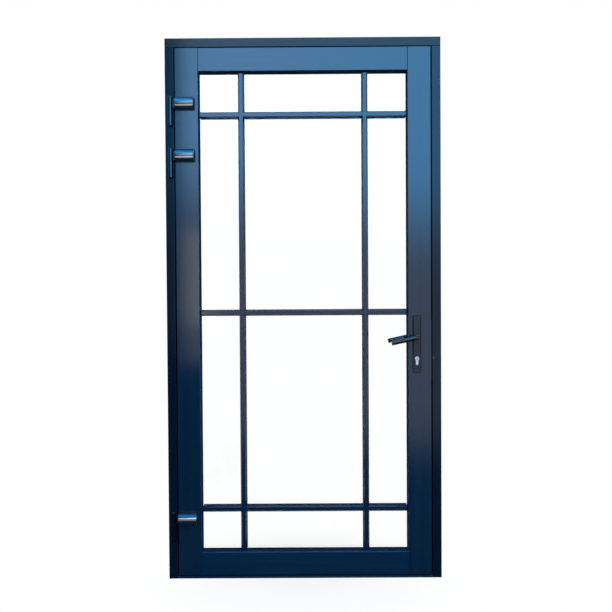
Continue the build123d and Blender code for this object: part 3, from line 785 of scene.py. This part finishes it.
leaf_front, leaf_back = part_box("leaf_stile_lock_side")[0][1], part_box("leaf_stile_lock_side")[1][1]
print("the leaf is", round((leaf_back - leaf_front) / MM, 1), "mm thick")

# %% [markdown]
# ## The levers
# Each lever is a round bar let into a round neck of the same width, which comes squarely
# out of the plate and ends in a flat dark face. The bar droops a little to a tip with a
# small radius. The solid makes that corner over two mitres. Both parts are turned pieces,
# so a profile of radius and height gives each of them, and the same points, mirrored
# through the leaf, make the inner lever.

# %% Levers
LEVER_RADIUS, LEVER_LENGTH, LEVER_REACH = 9.0, 104.0, 45.5
LEVER_DROOP, LEVER_EDGE = math.radians(12.5), 1.6
LEVER_START, COLLAR_RADIUS, COLLAR_FRONT = 0.5, 11.5, 13.0
COLLAR_EDGE, COLLAR_LIP = 0.9, 0.5


def rounded_end(radius, height, edge, steps=6):
    """Profile points of a quarter of a circle of radius edge, up to a flat end at this height."""
    a = np.linspace(0, np.pi / 2, steps)
    return list(zip((radius - edge + edge * np.cos(a)).tolist(), (height - edge + edge * np.sin(a)).tolist()))


def drooped(points):
    """Turns points about Y, so that what lies along -X comes down by the droop."""
    x, y, z = points.T
    c, s = math.cos(LEVER_DROOP), math.sin(LEVER_DROOP)
    return np.stack([x * c - z * s, y, x * s + z * c], -1)


spindle_low, spindle_high = (np.array(v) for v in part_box("lever_spindle"))
lock_x, handle_z = ((spindle_low + spindle_high) / 2)[[0, 2]]
neck = [(LEVER_RADIUS, LEVER_START)] + rounded_end(LEVER_RADIUS, LEVER_REACH + LEVER_RADIUS, LEVER_EDGE)
bar = [(LEVER_RADIUS, 0.0)] + rounded_end(LEVER_RADIUS, LEVER_LENGTH, LEVER_EDGE)
collar = ([(COLLAR_RADIUS, LEVER_START)] + rounded_end(COLLAR_RADIUS, COLLAR_FRONT, COLLAR_EDGE)
          + [(LEVER_RADIUS - COLLAR_LIP, COLLAR_FRONT)])
lever_parts = [closed_shell(turned(lathe(neck), (0, 0, 0), (0, -1, 0))),
               closed_shell(turned(lathe(bar), (0, -LEVER_REACH * MM, 0), (-1, 0, 0))),
               closed_shell(turned(lathe(collar), (0, 0, 0), (0, -1, 0)))]
for side, face_y, flip in (("outer", leaf_front, 1.0), ("inner", leaf_back, -1.0)):
    placed = []
    for points, faces in lever_parts:
        points = drooped(points) * (1.0, flip, 1.0) + (lock_x, face_y, handle_z)
        placed.append((points, faces if flip > 0 else [face[::-1] for face in faces]))
    lever = add_piece("lever_grip_" + side, placed, "lever_set", paint["lever"])
    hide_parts("lever_" + side)

# %% [markdown]
# ## Screws
# The inner plate, the lock's faceplate and the strike plate are held by lens head screws
# with a six-sided socket. A turned profile gives the head. For the socket, the radius also
# changes with the angle: half the key size divided by the cosine of the angle from the
# middle of each flat, which is the formula of a hexagon.

# %% Screws
PLATE_SCREW_INSET, FACE_SCREW_INSET, STRIKE_SCREW_INSET = 0.013, 0.012, 0.019
CYLINDER_RADIUS = 0.0085


def socket_screw(radius, height, key, depth, segments=36):
    """Rings up a rim, over a lens h = height - drop (r / radius)^2, and down a hexagonal socket."""
    a = np.linspace(0, 2 * np.pi, segments, endpoint=False)
    flat = key / 2 / np.cos(a % (np.pi / 3) - np.pi / 6)
    across = np.linspace(1.0, 0.7, 5)
    lens = [(radius * q + 0 * a, height - 0.45 * height * q * q) for q in across]
    rings = [(radius * 0.9 + 0 * a, -0.4), (radius + 0 * a, -0.1)] + lens
    rings += [(flat * 1.06, height * 0.9), (flat, height * 0.82), (flat, height - depth)]
    return MM * np.stack([np.stack([r * np.cos(a), r * np.sin(a), h + 0 * a], -1) for r, h in rings])


def add_screws(name, places, axis, body, radius, height, key):
    """The same screw at several places, as one piece."""
    head = socket_screw(radius, height, key, height * 0.85)
    parts = [closed_shell(turned(head, place, axis)) for place in places]
    add_piece(name, parts, body, steel["turned"])


plate_low, plate_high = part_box("handle_plate_inner")
face_low, face_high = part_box("lock_faceplate")
strike_low, strike_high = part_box("strike_plate")
face_y = (face_low[1] + face_high[1]) / 2
cylinder_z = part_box("lock_cylinder")[1][2] - CYLINDER_RADIUS
add_screws("screws_inner_plate",
           [(lock_x, plate_high[1], z)
            for z in (plate_low[2] + PLATE_SCREW_INSET, plate_high[2] - PLATE_SCREW_INSET)],
           (0, 1, 0), "leaf", radius=4.2, height=1.5, key=2.5)
add_screws("screws_faceplate",
           [(face_high[0], face_y, z)
            for z in (face_low[2] + FACE_SCREW_INSET, cylinder_z, face_high[2] - FACE_SCREW_INSET)],
           (1, 0, 0), "leaf", radius=3.6, height=0.8, key=2.0)
add_screws("screws_strike_plate",
           [(strike_low[0], face_y, z)
            for z in (strike_low[2] + STRIKE_SCREW_INSET, strike_high[2] - STRIKE_SCREW_INSET)],
           (-1, 0, 0), "frame", radius=3.6, height=0.8, key=2.0)

# %% [markdown]
# ## Anchor caps
# Four anchors hold each jamb to the wall. Their heads sit in wide holes in the rebate, and
# a plastic cap closes each hole. It is a turned profile with a short plug behind its rim.

# %% Anchor caps
ANCHOR_HEIGHTS = np.linspace(0.2, 1.9, 4)
ANCHOR_Y, JAMB_FACE = -0.008, 0.034
ANCHOR_CAP = [(6.8, -1.5), (6.8, 0.0), (8.2, 0.0), (8.2, 0.45), (7.6, 0.75), (5.0, 0.95), (2.0, 1.0)]

for side, edge, axis in (("hinge", 0, 1), ("lock", 1, -1)):
    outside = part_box("frame_jamb_" + side + "_side")[edge][0]
    caps = [closed_shell(turned(lathe(ANCHOR_CAP), (outside + axis * JAMB_FACE, ANCHOR_Y, z), (axis, 0, 0)))
            for z in ANCHOR_HEIGHTS]
    add_piece("anchor_caps_" + side + "_side", caps, "frame", paint["cap"])

# %% [markdown]
# ## Hinge caps and covers
# Plastic caps close the ends of the hinge barrels and of the round covers, and the covers
# get a thin glossy sleeve. The sleeves and their caps are cut flat where the leaf is, which
# is done by holding their points back to its face. The pale band low on the covers comes
# from a narrow panel of light that is linked to the sleeves alone.

# %% Hinge caps and covers
BARREL_CAP = [(4.2, -1.2), (4.2, 0.0), (6.6, 0.0), (6.6, 0.5), (6.0, 0.9), (3.5, 1.3), (1.5, 1.4)]
COVER_CAP = [(24.6, -3.2), (25.15, -3.2), (25.15, -2.0), (24.7, -0.7), (23.5, 0.1), (22.0, 0.35), (10.0, 0.4)]
COVER_RADIUS, COVER_LENGTH = 0.025, 0.073
COVER_SLEEVE = [(25.08, 0.8), (25.08, 72.2)]
LEAF_CLEARANCE = 0.0001


def on_leaf(shell):
    """Holds a shell's points back to just in front of the leaf, which cuts it flat there."""
    points, faces = shell
    points[:, 1] = np.minimum(points[:, 1], leaf_front - LEAF_CLEARANCE)
    return points, faces


barrels = {"leaf": [], "frame": []}
covers, sleeves = [], []
for place in ("bottom", "middle", "top"):
    low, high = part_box("hinge_leaf_part_" + place)
    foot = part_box("hinge_frame_part_" + place)[0][2]
    pin_low, pin_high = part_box("hinge_pin_" + place)
    axis_x, axis_y = (pin_low[0] + pin_high[0]) / 2, (pin_low[1] + pin_high[1]) / 2
    barrels["leaf"].append(closed_shell(turned(lathe(BARREL_CAP), (axis_x, axis_y, high[2]), (0, 0, 1))))
    barrels["frame"].append(closed_shell(turned(lathe(BARREL_CAP), (axis_x, axis_y, foot), (0, 0, -1))))
    right = np.array((high[0], low[1] + COVER_RADIUS, low[2] + COVER_RADIUS))
    left = right - (COVER_LENGTH, 0, 0)
    sleeves.append(on_leaf(closed_shell(turned(lathe(COVER_SLEEVE, 96), left, (1, 0, 0)))))
    for end, way in ((right, 1), (left, -1)):
        covers.append(on_leaf(closed_shell(turned(lathe(COVER_CAP, 64), end, (way, 0, 0)))))
for body, caps in barrels.items():
    add_piece("hinge_barrel_caps_" + body, caps, body, paint["cap"])
add_piece("hinge_cover_caps", covers, "leaf", paint["cap"])
sleeve = add_piece("hinge_covers", sleeves, "leaf", paint["hinge"])
glint = soft_panel("glint_panel", place=(-0.64, -1.25, 0.5), aim=(-0.64, 0, 0.5), width=0.24, height=1.4,
                   watts=4.6, colour=(1.0, 0.96, 0.88))
shade_panel(glint, 0.58, 0.64, least=0.3)
lit = bpy.data.collections.new("lit_hinges")
lit.objects.link(sleeve)
glint.light_linking.receiver_collection = lit

# %% [markdown]
# ## The seats of the handle plates and the rims of the plug
# A thin dark seat runs round each long plate and closes the gap to the leaf. Its dark rubber
# also stands in for the shade line round the plate, which makes it partly painted shade. The
# cylinder's plug has a raised bright rim on both sides of the door. Both are closed loops:
# a small profile carried round a rectangle with round corners, or round a circle.

# %% Outlines
SEAT_PROFILE = [(-0.6, 0.05), (2.2, 0.05), (2.2, 0.9), (1.7, 1.4), (-0.6, 1.4)]
SEAT_CORNER = 3.0


def round_corners(half_width, half_height, corner, segments=48):
    """A corner's centre plus corner (cos a, sin a), its centre picked by the signs of cos a and sin a."""
    a = (np.arange(segments) + 0.5) * 2 * np.pi / segments
    return np.stack([np.sign(np.cos(a)) * (half_width - corner) + corner * np.cos(a),
                     np.sign(np.sin(a)) * (half_height - corner) + corner * np.sin(a)], -1)


def outline_rings(half, profile, corner, grow):
    """One ring for each (out, h) of a profile: the outline widened by out, at the height h."""
    rings = []
    for out, h in profile:
        xy = round_corners(half[0] + out, half[1] + out, corner + out * grow)
        rings.append(np.column_stack([xy, np.full(len(xy), h)]))
    return MM * np.stack(rings)


print("an outline has", len(round_corners(10.0, 20.0, SEAT_CORNER)), "points")

# %% [markdown]
# The same step is done on both sides of the leaf, so one loop makes the seat and the rim of
# the outer side and then those of the inner one.

# %% Plate seats and plug rims
PLUG_PROFILE = [(5.5, -0.2), (7.1, -0.2), (7.1, 0.25), (6.8, 0.5), (5.8, 0.5), (5.5, 0.25)]

for side, edge, face_y, axis in (("outer", 0, leaf_front, -1), ("inner", 1, leaf_back, 1)):
    low, high = (np.array(v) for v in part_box("handle_plate_" + side))
    half = (high - low)[[0, 2]] / 2 / MM
    centre = ((low[0] + high[0]) / 2, face_y, (low[2] + high[2]) / 2)
    # The seat's dark rubber is partly a real underlay and partly painted shade round the plate.
    rings = outline_rings(half, SEAT_PROFILE, SEAT_CORNER, 1)
    seat_and_shade_line = closed_loop(turned(rings, centre, (0, axis, 0)))
    add_piece("plate_seat_shade_line_" + side, [seat_and_shade_line], "leaf", rubber)
    end_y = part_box("lock_cylinder")[edge][1]
    rim = closed_loop(turned(lathe(PLUG_PROFILE), (lock_x, end_y, cylinder_z), (0, axis, 0)))
    add_piece("plug_rim_" + side, [rim], "leaf", steel["nickel"])

# %% [markdown]
# ## End plugs of the stiles
# The stiles run the leaf's full height, so their hollow ends would stay open at the top and
# the foot. Thin plastic plugs with a softened rim close them. Each is a few rings in the
# outline of a rectangle with round corners, shut by a middle point on both sides.

# %% End plugs
PLUG_EDGE = [(0.0, -0.4), (0.0, 0.5), (-0.7, 1.2)]
PLUG_MARGIN, PLUG_CORNER = 1.0, 2.0

plugs = []
for side in ("hinge", "lock"):
    low, high = (np.array(v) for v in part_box("leaf_stile_" + side + "_side"))
    half = (high - low)[[1, 0]] / 2 / MM - PLUG_MARGIN
    rings = outline_rings(half, PLUG_EDGE, PLUG_CORNER, 0)
    middle = (low + high)[:2] / 2
    for z, axis in ((low[2], -1), (high[2], 1)):
        plugs.append(closed_shell(turned(rings, (*middle, z), (0, 0, axis))))
add_piece("stile_end_plugs", plugs, "leaf", paint["cap"])

# %% [markdown]
# ## Measure
# The box round everything, the solids and the added pieces, is measured and printed.

# %% Finish
low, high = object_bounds()
print("visual box", [round(v, 4) for v in (*low, *high)])
